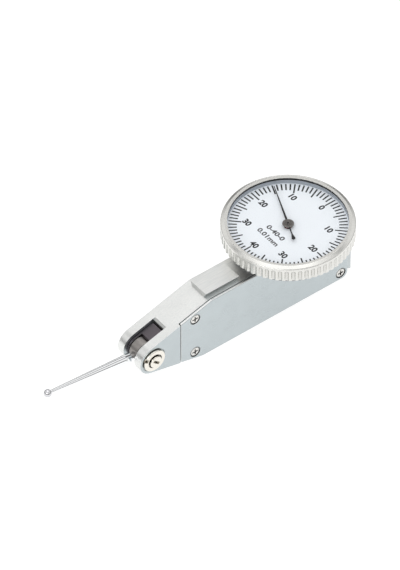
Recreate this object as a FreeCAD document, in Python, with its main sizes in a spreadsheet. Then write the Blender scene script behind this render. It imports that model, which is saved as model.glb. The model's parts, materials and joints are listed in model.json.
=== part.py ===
"""Lever-type dial test indicator.

Frame: origin on the flat underside below the dial axis, +X to the rear of the body, +Y to the
far side, +Z up through the dial. All sizes are in millimetres, all angles in degrees.
"""
import FreeCAD, Part
import math
import os
import re
import Sketcher

# Driving sizes. Each one becomes an aliased cell of the sheet "Sizes".
SIZES = {
    # body: a narrow bar with a fork at its front end
    "body_width": 8.8,
    "body_height": 16.8,
    "body_rear": 14.7,
    "body_corner": 1.7,
    "top_bend": 26.0,
    "bottom_bend": 28.7,
    "far_wall": 1.0,
    "edge_round": 0.25,
    # fork and the pivot of the measuring lever
    "pivot_reach": 43.3,
    "pivot_height": 7.75,
    "fork_radius": 3.93,
    "slot_width": 4.2,
    "slot_reach": 5.0,
    "slot_bevel": 0.45,
    # cavity for the movement
    "cavity_front": 27.5,
    "cavity_rear": 10.4,
    "cavity_floor": 1.4,
    "cavity_roof": 1.8,
    "channel_height": 3.2,
    "channel_width": 2.6,
    # side cover and its screws
    "cover_thick": 0.8,
    "cover_front": 35.4,
    "cover_gap": 0.25,
    "cover_edge": 0.25,
    "cover_relief": 0.25,
    "cover_rim": 0.35,
    "cover_screw_head": 1.2,
    "cover_screw_seat": 1.5,
    "cover_screw_sink": 0.5,
    "cover_screw_below": 0.05,
    "cover_screw_edge": 0.2,
    "cover_screw_shank": 0.5,
    "cover_screw_play": 0.1,
    "cover_cross_arm": 0.8,
    "cover_cross_half": 0.2,
    "cover_cross_depth": 0.35,
    "cover_screw_length": 3.0,
    "cover_screw_front": 31.0,
    "cover_screw_top": 3.3,
    "cover_screw_low": 2.7,
    "cover_screw_inset": 2.1,
    # how far joined stock runs into the piece it joins
    "root_overlap": 0.2,
    # dovetails
    "dovetail_width": 6.0,
    "dovetail_depth": 1.3,
    "dovetail_flank": 30.0,
    "top_dovetail_front": 26.8,
    "top_dovetail_length": 9.9,
    "rear_dovetail_neck": 0.7,
    "rear_dovetail_foot": 0.2,
    # dial case
    "case_floor": 0.6,
    "case_radius": 13.1,
    "case_wall": 0.7,
    "case_screw_reach": 8.0,
    "case_screw_spread": 2.2,
    "case_screw_head": 1.1,
    "case_screw_head_thick": 0.7,
    "case_screw_shank": 0.6,
    "case_screw_play": 0.05,
    "case_screw_length": 2.1,
    "case_screw_bore": 2.2,
    "case_cross_arm": 0.7,
    "case_cross_half": 0.14,
    "case_cross_depth": 0.35,
    "flange_low": 20.5,
    "flange_thick": 0.6,
    # bezel and dial
    "bezel_radius": 16.0,
    "bezel_foot": 19.6,
    "bezel_top": 23.8,
    "bezel_bore": 14.95,
    "bezel_lip": 14.33,
    "bezel_lip_thick": 0.2,
    "bezel_ring": 15.06,
    "bezel_slope": 0.45,
    "bezel_shoulder_round": 0.35,
    "bezel_crown_round": 0.2,
    "bezel_foot_chamfer": 0.15,
    "flute_count": 64.0,
    "flute_radius": 0.52,
    "flute_depth": 0.38,
    "flute_top": 0.55,
    "bezel_clearance": 0.05,
    "dial_face": 22.0,
    "dial_thick": 0.4,
    "crystal_thick": 0.4,
    "gasket_thick": 0.15,
    "snap_wire": 0.3,
    "snap_rise": 0.35,
    "snap_groove": 0.2,
    "snap_bite": 0.15,
    "snap_inside": 0.4,
    "snap_opening": 0.9,
    "drag_ring_thick": 0.2,
    "drag_ring_inside": 0.1,
    "drag_ring_outside": 0.4,
    "retainer_gap": 0.1,
    "retainer_width": 0.9,
    "dial_bore": 1.0,
    "gasket_inside": 0.1,
    # pointer
    "pointer_level": 22.7,
    "pointer_thick": 0.12,
    "pointer_length": 13.07,
    "pointer_width": 0.5,
    "pointer_tip_width": 0.16,
    "pointer_tail": 5.4,
    "pointer_tail_width": 0.3,
    "pointer_paddle": 1.9,
    "pointer_paddle_width": 0.9,
    "pointer_rest": 66.6,
    "pointer_collar": 1.2,
    "pointer_bore": 0.6,
    "pointer_root": 0.8,
    "pointer_hub_radius": 1.4,
    "pointer_hub_thick": 0.14,
    "pointer_hub_edge": 0.04,
    "pointer_hub_rise": 0.26,
    "pointer_hub_drop": 0.4,
    # gears: module and teeth
    "gear_module": 0.14,
    "sector_teeth": 150.0,
    "arbor_pinion_teeth": 12.0,
    "crown_teeth": 40.0,
    "centre_pinion_teeth": 16.0,
    "sector_span": 13.0,
    "sector_hub": 1.0,
    "sector_waist": 0.7,
    "sector_tail": 0.8,
    "sector_tail_half": 0.65,
    "sector_tail_root": 0.5,
    "sector_slot_half": 0.45,
    "sector_window_low": 2.0,
    "sector_window_rim": 1.6,
    "sector_window_half": 1.3,
    "tooth_bite": 0.1,
    "pinion_bite": 0.06,
    "pinion_overhang": 0.2,
    "crown_tooth_length": 0.3,
    "centre_pinion_below": 0.45,
    "centre_pinion_above": 0.55,
    "centre_foot": 0.6,
    "centre_top": 0.2,
    "millimetres_per_turn": 0.8,
    # stations of the movement across the body, as Y coordinates
    "bridge_near": -3.4,
    "bridge_thick": 0.6,
    "bridge_screw_rise": 5.0,
    "bridge_screw_top": 2.25,
    "bridge_screw_front": 6.5,
    "bridge_screw_rear": 6.0,
    "bridge_screw_head": 0.8,
    "bridge_screw_shank": 0.4,
    "bridge_screw_sink": 0.35,
    "bridge_screw_play": 0.05,
    "bridge_screw_length": 2.4,
    "bridge_cross_arm": 0.5,
    "bridge_cross_half": 0.1,
    "bridge_cross_depth": 0.2,
    "bridge_pillar": 1.1,
    "bridge_nose": 2.2,
    "bridge_tail": 1.5,
    "bridge_waist": 1.8,
    "bridge_side": 1.6,
    "bridge_end": 1.2,
    "sector_low": 1.5,
    "sector_thick": 0.5,
    "crown_thick": 0.7,
    "jewel_radius": 0.9,
    "jewel_thick": 0.5,
    "journal": 0.25,
    "arbor": 0.4,
    "jewel_window": 0.3,
    "shoulder_gap": 0.1,
    "end_shake": 0.05,
    "running_fit": 0.03,
    # centre bush
    "bush_low": 11.8,
    "bush_top": 21.0,
    "bush_radius": 1.6,
    "bush_flange": 3.2,
    "bush_flange_thick": 0.6,
    "bush_relief": 0.1,
    # lever, drum and stylus
    "lever_play": 0.1,
    "cheek_thick": 0.5,
    "hub_setback": 1.0,
    "lever_arm_half": 0.7,
    "lever_arm_height": 1.5,
    "lever_arm_end": 0.6,
    "lever_arm_end_half": 0.5,
    "lever_tail_gap": 0.35,
    "lever_belly": 0.95,
    "axle": 0.6,
    "drum_gap": 0.05,
    "washer_thick": 0.2,
    "washer_step": 0.6,
    "drive_pin": 0.3,
    "drive_pin_proud": 0.15,
    "axle_hold": 1.1,
    "axle_seat": 1.2,
    "stylus_tilt": 7.2,
    "stylus_drop": 0.8,
    "stylus_length": 27.8,
    "stylus_root": 3.5,
    "stylus_seat": 1.3,
    "stylus_groove": 0.15,
    "stylus_chamfer": 0.2,
    "stylus_collar": 1.8,
    "stylus_flat_length": 1.4,
    "swivel_room": 45.0,
    "swivel_room_reach": 7.0,
    "swivel_relief": 18.0,
    "stylus_shank": 1.15,
    "stylus_neck": 0.5,
    "stylus_flat": 0.95,
    "stylus_thread": 0.7,
    "ball": 1.0,
    # pivot bearing in the tines
    "bearing_seat": 3.3,
    "bearing_seat_depth": 0.4,
    "bearing_ring": 3.0,
    "bearing_ring_rise": 0.6,
    "bearing_ring_edge": 0.25,
    "bearing_well": 1.95,
    "bearing_well_depth": 0.4,
    "bearing_thread": 2.4,
    "bearing_thread_gap": 0.1,
    "bearing_notch_width": 0.9,
    "bearing_notch_length": 0.8,
    "bearing_notch_depth": 0.6,
    "bearing_notch_turn": 27.0,
    "pivot_screw": 1.6,
    "pivot_screw_rise": 1.1,
    "pivot_screw_edge": 0.2,
    # past the inner wall of the tine, so 0 is flush with it
    "pivot_screw_reach": 0.0,
    "pivot_slot_half": 1.05,
    "pivot_slot_width": 0.7,
    "pivot_slot_depth": 0.8,
    "pivot_slot_turn": 41.0,
    # hairspring
    "hairspring_near": 2.45,
    "hairspring_width": 0.35,
    "hairspring_strip": 0.06,
    "hairspring_outer": 3.4,
    "hairspring_turns": 4.5,
    "collet_wall": 0.35,
    "collet_overhang": 0.05,
    "stud": 0.4,
    "stud_gap": 0.005,
    "stud_overhang": 0.1,
}

# Worked sizes, written in terms of the driving ones.
WORKED = {
    "half": "body_width / 2",
    "pivot_x": "0 - pivot_reach",
    "slot_wall": "slot_reach - pivot_reach",
    "cover_face": "cover_thick - half",
    "cavity_far": "half - far_wall",
    "cavity_top": "body_height - cavity_roof",
    "top_slope": "atan2(body_height - pivot_height; pivot_reach - top_bend)"
                 " - asin(fork_radius / sqrt((body_height - pivot_height)^2 + (pivot_reach - top_bend)^2))",
    "dovetail_taper": "dovetail_depth * tan(dovetail_flank)",
    "case_low": "body_height",
    "flange_top": "flange_low + flange_thick",
    "flange_radius": "bezel_bore - bezel_clearance",
    "dial_low": "dial_face - dial_thick",
    "crystal_top": "bezel_top - bezel_lip_thick",
    "crystal_low": "crystal_top - crystal_thick",
    "gasket_low": "crystal_low - gasket_thick",
    "bridge_far": "bridge_near + bridge_thick",
    "pinion_radius": "gear_module * arbor_pinion_teeth / 2",
    "sector_radius": "gear_module * sector_teeth / 2",
    "crown_radius": "gear_module * crown_teeth / 2",
    "centre_radius": "gear_module * centre_pinion_teeth / 2",
    "tooth_rise": "gear_module * 0.85",
    "tooth_fall": "gear_module * 1.25",
    "tooth_root_half": "gear_module * 0.85",
    "tooth_tip_half": "gear_module * 0.35",
    "crown_tooth_half": "gear_module * 0.55",
    "axle_bore": "axle + running_fit",
    "jewel_bore": "journal + running_fit",
    "sector_x": "0 - sector_radius - pinion_radius",
    "lever_ratio": "(2 * pi * stylus_length / millimetres_per_turn)"
                   " / (sector_teeth / arbor_pinion_teeth * crown_teeth / centre_pinion_teeth)",
    "sector_input": "(pivot_reach + sector_x) / (1 + lever_ratio)",
    "pin_x": "sector_x - sector_input",
    "crown_face": "tooth_rise - centre_radius",
    "crown_floor": "0 - centre_radius - tooth_fall",
    "hub_radius": "fork_radius - hub_setback",
    "lever_half": "slot_width / 2 - lever_play",
    "drum_radius": "hub_radius - drum_gap",
    "ball_seat": "stylus_length - sqrt(ball^2 - stylus_neck^2)",
    "drum_half": "lever_half - cheek_thick - washer_thick - drum_gap",
    "screw_end": "slot_width / 2 - pivot_screw_reach",
    "snap_low": "bezel_foot + snap_rise",
    "collet_radius": "arbor + collet_wall",
    "cover_crown": "cover_screw_below - half",
    "cover_seat": "cover_screw_sink - half",
    "case_seat": "case_low + case_floor",
    "bearing_face": "half + bearing_ring_rise",
    "pivot_face": "half + pivot_screw_rise",
    "bridge_seat": "bridge_near + bridge_screw_sink",
    "bridge_thread_end": "bridge_far + bridge_screw_length",
}

COVER_SCREWS = [
    ("0 - cover_screw_front", "body_height - cover_screw_top"),
    ("0 - cover_screw_front", "cover_screw_low"),
    ("body_rear - cover_screw_inset", "cover_screw_inset"),
    ("body_rear - cover_screw_inset", "body_height - cover_screw_inset"),
]
BRIDGE_SCREWS = [
    ("0 - bridge_screw_front", "cavity_top - bridge_screw_top"),
    ("0 - bridge_screw_front", "pivot_height - bridge_screw_rise"),
    ("bridge_screw_rear", "pivot_height"),
]
ARBORS = [("sector_x", "pivot_height"), ("0", "pivot_height")]
CASE_SCREWS = [
    ("%s case_screw_reach" % side, "%s case_screw_spread" % across)
    for side in ("0 -", "") for across in ("0 -", "")
]

doc = FreeCAD.newDocument("dial_test_indicator")
sheet = doc.addObject("Spreadsheet::Sheet", "Sizes")
for row, (alias, size) in enumerate(SIZES.items(), start=1):
    sheet.set("A%d" % row, alias)
    sheet.set("B%d" % row, str(size))
    sheet.setAlias("B%d" % row, alias)
doc.recompute()


def formula(text):
    """Writes an expression over the sheet's cells, with the worked sizes spelled out."""
    def spell(match):
        word = match.group(0)
        if word in SIZES:
            return "Sizes." + word
        if word in WORKED:
            return "(" + formula(WORKED[word]) + ")"
        return word
    return re.sub(r"[a-z_]+", spell, text)


def number(text):
    """The present value of an expression."""
    return float(sheet.evalExpression(formula(text)))


def bind(item, path, text):
    item.setExpression(path, formula(text))


# ---------------------------------------------------------------- sketches and features
def new_body(name):
    body = doc.addObject("PartDesign::Body", name)
    body.Label = name
    return body


def new_sketch(body, plane, offset):
    """An empty sketch parallel to one of the body's own origin planes."""
    sketch = body.newObject("Sketcher::SketchObject", body.Name + "_sketch")
    support = next(item for item in body.Origin.OriginFeatures if item.Role == plane + "_Plane")
    sketch.AttachmentSupport = [(support, "")]
    sketch.MapMode = "FlatFace"
    bind(sketch, "AttachmentOffset.Base.z", offset)
    return sketch


def locate(sketch, edge, point, place):
    """Ties one point of a sketch edge to two expressions, across and up."""
    for kind, text in zip(("DistanceX", "DistanceY"), place):
        index = sketch.addConstraint(Sketcher.Constraint(kind, -1, 1, edge, point, number(text)))
        bind(sketch, "Constraints[%d]" % index, text)


def set_radius(sketch, edge, text):
    index = sketch.addConstraint(Sketcher.Constraint("Radius", edge, number(text)))
    bind(sketch, "Constraints[%d]" % index, text)


def vector(place):
    return FreeCAD.Vector(number(place[0]), number(place[1]), 0)


def draw_polygon(sketch, places):
    """A closed outline of straight edges through the given places."""
    corners = [vector(place) for place in places]
    edges = [sketch.addGeometry(Part.LineSegment(start, end))
             for start, end in zip(corners, corners[1:] + corners[:1])]
    for edge, following in zip(edges, edges[1:] + edges[:1]):
        sketch.addConstraint(Sketcher.Constraint("Coincident", edge, 2, following, 1))
    for edge, place in zip(edges, places):
        locate(sketch, edge, 1, place)


def draw_box(sketch, low, high):
    draw_polygon(sketch, [low, (high[0], low[1]), high, (low[0], high[1])])


def draw_circle(sketch, centre, radius):
    edge = sketch.addGeometry(Part.Circle(vector(centre), FreeCAD.Vector(0, 0, 1), number(radius)))
    locate(sketch, edge, 3, centre)
    set_radius(sketch, edge, radius)


def draw_nose(sketch, centre, radius, places):
    """An outline whose front is an arc tangent to the edges that run to the first and last place."""
    middle = vector(centre)
    corners = [vector(place) for place in places]
    size = number(radius)
    touches = []
    for corner, side in ((corners[-1], 1), (corners[0], -1)):
        reach = corner - middle
        turn = math.acos(size / reach.Length) * side
        along = math.atan2(reach.y, reach.x) + turn
        touches.append(middle + FreeCAD.Vector(size * math.cos(along), size * math.sin(along), 0))
    path = [touches[1]] + corners + [touches[0]]
    edges = [sketch.addGeometry(Part.LineSegment(start, end)) for start, end in zip(path, path[1:])]
    top = touches[0] - middle
    low = touches[1] - middle
    start = math.atan2(top.y, top.x)
    finish = math.atan2(low.y, low.x) + 2 * math.pi
    circle = Part.Circle(middle, FreeCAD.Vector(0, 0, 1), size)
    arc = sketch.addGeometry(Part.ArcOfCircle(circle, start, finish))
    for edge, following in zip(edges, edges[1:]):
        sketch.addConstraint(Sketcher.Constraint("Coincident", edge, 2, following, 1))
    sketch.addConstraint(Sketcher.Constraint("Tangent", edges[-1], 2, arc, 1))
    sketch.addConstraint(Sketcher.Constraint("Tangent", arc, 2, edges[0], 1))
    for edge, place in zip(edges[1:], places):
        locate(sketch, edge, 1, place)
    locate(sketch, arc, 3, centre)
    set_radius(sketch, arc, radius)


def draw_flute(sketch, axis, low, high, radius):
    """Half a round-ended cutter: a straight flank under a quarter circle, beside its own axis."""
    size = number(radius)
    foot = vector((axis, low))
    end = vector((axis, high))
    side = FreeCAD.Vector(size, 0, 0)
    peak = end + FreeCAD.Vector(0, size, 0)
    spine = sketch.addGeometry(Part.LineSegment(foot, peak))
    base = sketch.addGeometry(Part.LineSegment(foot, foot + side))
    flank = sketch.addGeometry(Part.LineSegment(foot + side, end + side))
    circle = Part.Circle(end, FreeCAD.Vector(0, 0, 1), size)
    crown = sketch.addGeometry(Part.ArcOfCircle(circle, 0, math.pi / 2))
    sketch.addConstraint(Sketcher.Constraint("Coincident", spine, 1, base, 1))
    sketch.addConstraint(Sketcher.Constraint("Coincident", base, 2, flank, 1))
    sketch.addConstraint(Sketcher.Constraint("Tangent", flank, 2, crown, 1))
    sketch.addConstraint(Sketcher.Constraint("Coincident", crown, 2, spine, 2))
    sketch.addConstraint(Sketcher.Constraint("Vertical", spine))
    sketch.addConstraint(Sketcher.Constraint("Horizontal", base))
    locate(sketch, spine, 1, (axis, low))
    locate(sketch, crown, 3, (axis, high))
    set_radius(sketch, crown, radius)


def slab(body, kind, plane, low, high, draw):
    """Pads or pockets a drawn outline between two coordinates along the plane's world axis.

    The XZ plane faces -Y and the others face the positive axis. A pad leaves its sketch along the
    normal and a pocket leaves it against the normal.
    """
    start_low = (kind == "Pad") != (plane == "XZ")
    start = low if start_low else high
    sketch = new_sketch(body, plane, "0 - (%s)" % start if plane == "XZ" else start)
    draw(sketch)
    feature = body.newObject("PartDesign::" + kind, body.Name + "_" + kind.lower())
    feature.Profile = sketch
    bind(feature, "Length", "(%s) - (%s)" % (high, low))
    doc.recompute()
    return feature


def add(body, plane, low, high, draw):
    return slab(body, "Pad", plane, low, high, draw)


def cut(body, plane, low, high, draw):
    """Pockets an outline and makes sure that it removed something."""
    before = body.Shape.Volume
    feature = slab(body, "Pocket", plane, low, high, draw)
    if body.Shape.Volume >= before - 1e-6:
        raise ValueError("%s: a pocket removed nothing" % body.Label)
    return feature


def facing(side, low, high):
    """Mirrors a span across the body's middle plane when side is -1."""
    if side > 0:
        return low, high
    return "0 - (%s)" % high, "0 - (%s)" % low


def circles(places, radius):
    def draw(sketch):
        for place in places:
            draw_circle(sketch, place, radius)
    return draw


def rings(places, radius, bore):
    def draw(sketch):
        for place in places:
            draw_circle(sketch, place, radius)
            draw_circle(sketch, place, bore)
    return draw


def polygon(places):
    return lambda sketch: draw_polygon(sketch, places)


def box(low, high):
    return lambda sketch: draw_box(sketch, low, high)


def slot(place, half_length, width, turn):
    """A straight slot through one place, turned clockwise from the first axis."""
    corners = [(-1, -1), (1, -1), (1, 1), (-1, 1)]
    return polygon([
        ("%s + %d * %s * cos(%s) + %d * %s / 2 * sin(%s)"
         % (place[0], along, half_length, turn, side, width, turn),
         "%s - %d * %s * sin(%s) + %d * %s / 2 * cos(%s)"
         % (place[1], along, half_length, turn, side, width, turn))
        for along, side in corners])


def crosses(places, arm, width):
    """Cross-shaped recesses, one at each place."""
    corners = [(arm, width), (width, width), (width, arm)]
    signs = [(1, 1), (-1, 1), (-1, -1), (1, -1)]
    def draw(sketch):
        for across, up in places:
            outline = []
            for index, (right, rise) in enumerate(signs):
                run = corners if index % 2 == 0 else corners[::-1]
                for first, second in run:
                    outline.append(("(%s) + (%s) * %d" % (across, first, right),
                                    "(%s) + (%s) * %d" % (up, second, rise)))
            draw_polygon(sketch, outline)
    return draw


def turned(name, outline):
    """A piece turned about its own Z axis from an outline of (radius, height)."""
    body = new_body(name)
    sketch = new_sketch(body, "XZ", "0")
    draw_polygon(sketch, outline)
    feature = body.newObject("PartDesign::Revolution", name + "_turn")
    feature.Profile = sketch
    feature.ReferenceAxis = (sketch, ["V_Axis"])
    feature.Angle = 360
    doc.recompute()
    return body


def stack(name, centre, steps):
    """A piece turned about a Y axis, as steps of (radius, low, high)."""
    body = new_body(name)
    for radius, low, high in steps:
        add(body, "XZ", low, high, circles([centre], radius))
    return body


def pattern(body, features, angle, count):
    """Repeats features about the axis of the first one's sketch."""
    repeat = body.newObject("PartDesign::PolarPattern", body.Name + "_pattern")
    repeat.Originals = features
    repeat.Axis = (features[0].Profile[0], ["N_Axis"])
    bind(repeat, "Angle", angle)
    bind(repeat, "Occurrences", count)
    body.Tip = repeat
    doc.recompute()


def tooth(angle, root, tip, root_half, tip_half):
    """The outline of one tooth that points along the given angle."""
    def draw(sketch):
        corners = [(root, "0 - " + root_half), (tip, "0 - " + tip_half),
                   (tip, tip_half), (root, root_half)]
        draw_polygon(sketch, [
            ("(%s) * cos(%s) - (%s) * sin(%s)" % (reach, angle, side, angle),
             "(%s) * sin(%s) + (%s) * cos(%s)" % (reach, angle, side, angle))
            for reach, side in corners])
    return draw


def round_edges(body, radius, wanted, kind="Fillet"):
    """Rounds or chamfers the edges of the body that the test picks."""
    base = body.Tip
    names = ["Edge%d" % index for index, edge in enumerate(base.Shape.Edges, start=1) if wanted(edge)]
    if not names:
        raise ValueError("%s: no edge to round" % body.Label)
    feature = body.newObject("PartDesign::" + kind, body.Name + "_" + kind.lower())
    feature.Base = (base, names)
    bind(feature, "Radius" if kind == "Fillet" else "Size", radius)
    body.Tip = feature
    doc.recompute()


def place(body, base=("0", "0", "0"), axis=(0, 0, 1), angle="0"):
    """Puts a body at a place and turns it about an axis through that place."""
    body.Placement = FreeCAD.Placement(
        FreeCAD.Vector(*[number(text) for text in base]),
        FreeCAD.Rotation(FreeCAD.Vector(*axis), number(angle)))
    for letter, text in zip("xyz", base):
        bind(body, "Placement.Base." + letter, text)
    bind(body, "Placement.Rotation.Angle", angle)


def lies_on(edge, axis, value, slack=1e-4):
    """Whether an edge lies wholly in the plane where the coordinate has the value."""
    points = [edge.valueAt(edge.FirstParameter + (edge.LastParameter - edge.FirstParameter) * part)
              for part in (0.0, 0.37, 1.0)]
    return all(abs(getattr(point, axis) - value) < slack for point in points)


# ---------------------------------------------------------------- body and cover
PIVOT = ("pivot_x", "pivot_height")
CENTRE = ("0", "0")


def body_outline(sketch):
    """The side view of the bar: round fork end, sloping front, flat top and underside."""
    draw_nose(sketch, PIVOT, "fork_radius", [
        ("0 - bottom_bend", "0"),
        ("body_rear", "0"),
        ("body_rear", "body_height"),
        ("0 - top_bend", "body_height"),
    ])


def is_low_rear_corner(edge):
    return lies_on(edge, "x", number("body_rear")) and lies_on(edge, "z", 0.0)


def make_body_frame():
    body = new_body("body_frame")
    add(body, "XZ", "0 - half", "half", body_outline)
    round_edges(body, "body_corner", is_low_rear_corner)
    outer = number("half")
    round_edges(body, "edge_round", lambda edge: lies_on(edge, "y", outer))
    # the recess for the side cover
    cut(body, "XZ", "0 - half - 1", "cover_face",
        box(("0 - cover_front", "0 - 1"), ("body_rear + 1", "body_height + 1")))
    # the cavity, with the pillars of the movement bridge left standing
    def cavity(sketch):
        draw_box(sketch, ("0 - cavity_front", "cavity_floor"), ("cavity_rear", "cavity_top"))
        circles(BRIDGE_SCREWS, "bridge_pillar")(sketch)
    cut(body, "XZ", "0 - half", "cavity_far", cavity)
    cut(body, "XZ", "0 - half", "bridge_far",
        box(("0 - cavity_front", "cavity_floor"), ("cavity_rear", "cavity_top")))
    # the channel that lets the lever arm through, and the fork slot
    cut(body, "XZ", "0 - channel_width / 2", "channel_width / 2",
        box(("slot_wall - 1", "pivot_height - channel_height / 2"),
            ("1 - cavity_front", "pivot_height + channel_height / 2")))
    cut(body, "XY", "0 - 1", "body_height + 1",
        box(("pivot_x - 2 * fork_radius", "0 - slot_width / 2"), ("slot_wall", "slot_width / 2")))
    # the bevel at the top of the slot's rear wall
    lip = "(pivot_height + fork_radius / cos(top_slope) + (slot_wall - pivot_x) * tan(top_slope))"
    cut(body, "XZ", "0 - slot_width / 2", "slot_width / 2", polygon([
        ("slot_wall - 1", lip + " - slot_bevel"),
        ("slot_wall", lip + " - slot_bevel"),
        ("slot_wall + slot_bevel", lip + " + slot_bevel * tan(top_slope)"),
        ("slot_wall + slot_bevel", lip + " + 1"),
        ("slot_wall - 1", lip + " + 1"),
    ]))
    # bores, and the sunk seats of the bearing rings
    cut(body, "XZ", "0 - half - 1", "half + 1", circles([PIVOT], "bearing_thread"))
    for side in (-1, 1):
        low, high = facing(side, "half - bearing_seat_depth", "half + 1")
        cut(body, "XZ", low, high, circles([PIVOT], "bearing_seat"))
    cut(body, "XY", "cavity_top - 1", "body_height + 1", circles([CENTRE], "bush_radius"))
    cut(body, "XY", "case_seat - case_screw_bore", "body_height + 1",
        circles(CASE_SCREWS, "case_screw_shank"))
    cut(body, "XZ", "0 - half", "cover_face + cover_screw_length",
        circles(COVER_SCREWS, "cover_screw_shank"))
    cut(body, "XZ", "0 - half", "bridge_thread_end", circles(BRIDGE_SCREWS, "bridge_screw_shank"))
    cut(body, "XZ", "0", "cavity_far + jewel_thick", circles(ARBORS, "jewel_radius"))
    # dovetails
    add(body, "YZ", "0 - top_dovetail_front", "top_dovetail_length - top_dovetail_front", polygon([
        ("dovetail_taper - dovetail_width / 2", "body_height - root_overlap"),
        ("dovetail_width / 2 - dovetail_taper", "body_height - root_overlap"),
        ("dovetail_width / 2 - dovetail_taper", "body_height"),
        ("dovetail_width / 2", "body_height + dovetail_depth"),
        ("0 - dovetail_width / 2", "body_height + dovetail_depth"),
        ("dovetail_taper - dovetail_width / 2", "body_height"),
    ]))
    add(body, "XY", "rear_dovetail_foot", "body_height", polygon([
        ("body_rear - root_overlap", "dovetail_taper - dovetail_width / 2"),
        ("body_rear + rear_dovetail_neck", "dovetail_taper - dovetail_width / 2"),
        ("body_rear + rear_dovetail_neck + dovetail_depth", "0 - dovetail_width / 2"),
        ("body_rear + rear_dovetail_neck + dovetail_depth", "dovetail_width / 2"),
        ("body_rear + rear_dovetail_neck", "dovetail_width / 2 - dovetail_taper"),
        ("body_rear - root_overlap", "dovetail_width / 2 - dovetail_taper"),
    ]))
    return body


def cover_rim_outline(sketch):
    """Everything outside the side view of the bar drawn in by the width of the rim."""
    draw_box(sketch, ("pivot_x - 2 * fork_radius", "0 - 1"), ("body_rear + 1", "body_height + 1"))
    draw_nose(sketch, PIVOT, "fork_radius - cover_rim", [
        ("0 - bottom_bend", "cover_rim"),
        ("body_rear - cover_rim", "cover_rim"),
        ("body_rear - cover_rim", "body_height - cover_rim"),
        ("0 - top_bend", "body_height - cover_rim"),
    ])


def make_side_cover():
    body = new_body("side_cover")
    add(body, "XZ", "0 - half", "cover_face", body_outline)
    round_edges(body, "body_corner", is_low_rear_corner)
    cut(body, "XZ", "0 - half - 1", "cover_face + 1",
        box(("pivot_x - 2 * fork_radius", "0 - 1"), ("cover_gap - cover_front", "body_height + 1")))
    outer = number("0 - half")
    round_edges(body, "cover_edge", lambda edge: lies_on(edge, "y", outer))
    # the rim stands off the body, which leaves a shadow gap round the cover
    cut(body, "XZ", "cover_face - cover_relief", "cover_face + 1", cover_rim_outline)
    cut(body, "XZ", "cover_face - cover_relief", "cover_face + 1",
        box(("pivot_x - 2 * fork_radius", "0 - 1"),
            ("cover_gap + cover_rim - cover_front", "body_height + 1")))
    cut(body, "XZ", "0 - half - 1", "cover_face + 1",
        circles(COVER_SCREWS, "cover_screw_shank + cover_screw_play"))
    cut(body, "XZ", "0 - half - 1", "cover_seat", circles(COVER_SCREWS, "cover_screw_seat"))
    return body


def make_cover_screws():
    body = new_body("cover_screws")
    add(body, "XZ", "cover_crown", "cover_seat", circles(COVER_SCREWS, "cover_screw_head"))
    add(body, "XZ", "cover_seat", "cover_face + cover_screw_length",
        circles(COVER_SCREWS, "cover_screw_shank"))
    crown = number("cover_crown")
    round_edges(body, "cover_screw_edge", lambda edge: lies_on(edge, "y", crown))
    cut(body, "XZ", "0 - half - 1", "cover_crown + cover_cross_depth",
        crosses(COVER_SCREWS, "cover_cross_arm", "cover_cross_half"))
    return body


# ---------------------------------------------------------------- pivot bearing
def make_bearing_ring(name, side):
    body = new_body(name)
    low, high = facing(side, "half - bearing_seat_depth", "bearing_face")
    add(body, "XZ", low, high, rings([PIVOT], "bearing_ring", "pivot_screw"))
    low, high = facing(side, "slot_width / 2 + bearing_thread_gap", "half - bearing_seat_depth")
    add(body, "XZ", low, high, rings([PIVOT], "bearing_thread", "pivot_screw"))
    face = number("bearing_face") * side
    rim = number("bearing_ring")
    round_edges(body, "bearing_ring_edge",
                lambda edge: lies_on(edge, "y", face) and abs(edge.Curve.Radius - rim) < 1e-4)
    low, high = facing(side, "bearing_face - bearing_well_depth", "bearing_face + 1")
    cut(body, "XZ", low, high, circles([PIVOT], "bearing_well"))
    # a notch for a pin spanner, open to the rim
    low, high = facing(side, "bearing_face - bearing_notch_depth", "bearing_face + 1")
    reach = "(bearing_ring + (1 - bearing_notch_length) / 2)"
    middle = ("pivot_x - %s * cos(bearing_notch_turn)" % reach,
              "pivot_height + %s * sin(bearing_notch_turn)" % reach)
    cut(body, "XZ", low, high, slot(middle, "(1 + bearing_notch_length) / 2", "bearing_notch_width",
                                    "bearing_notch_turn"))
    return body


def make_pivot_screw(name, side):
    body = new_body(name)
    low, high = facing(side, "screw_end", "pivot_face")
    add(body, "XZ", low, high, circles([PIVOT], "pivot_screw"))
    face = number("pivot_face") * side
    round_edges(body, "pivot_screw_edge", lambda edge: lies_on(edge, "y", face))
    low, high = facing(side, "pivot_face - pivot_slot_depth", "pivot_face + 1")
    cut(body, "XZ", low, high, slot(PIVOT, "pivot_slot_half", "pivot_slot_width", "pivot_slot_turn"))
    low, high = facing(side, "screw_end - 1", "screw_end + axle_seat")
    cut(body, "XZ", low, high, circles([PIVOT], "axle_bore"))
    return body


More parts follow.
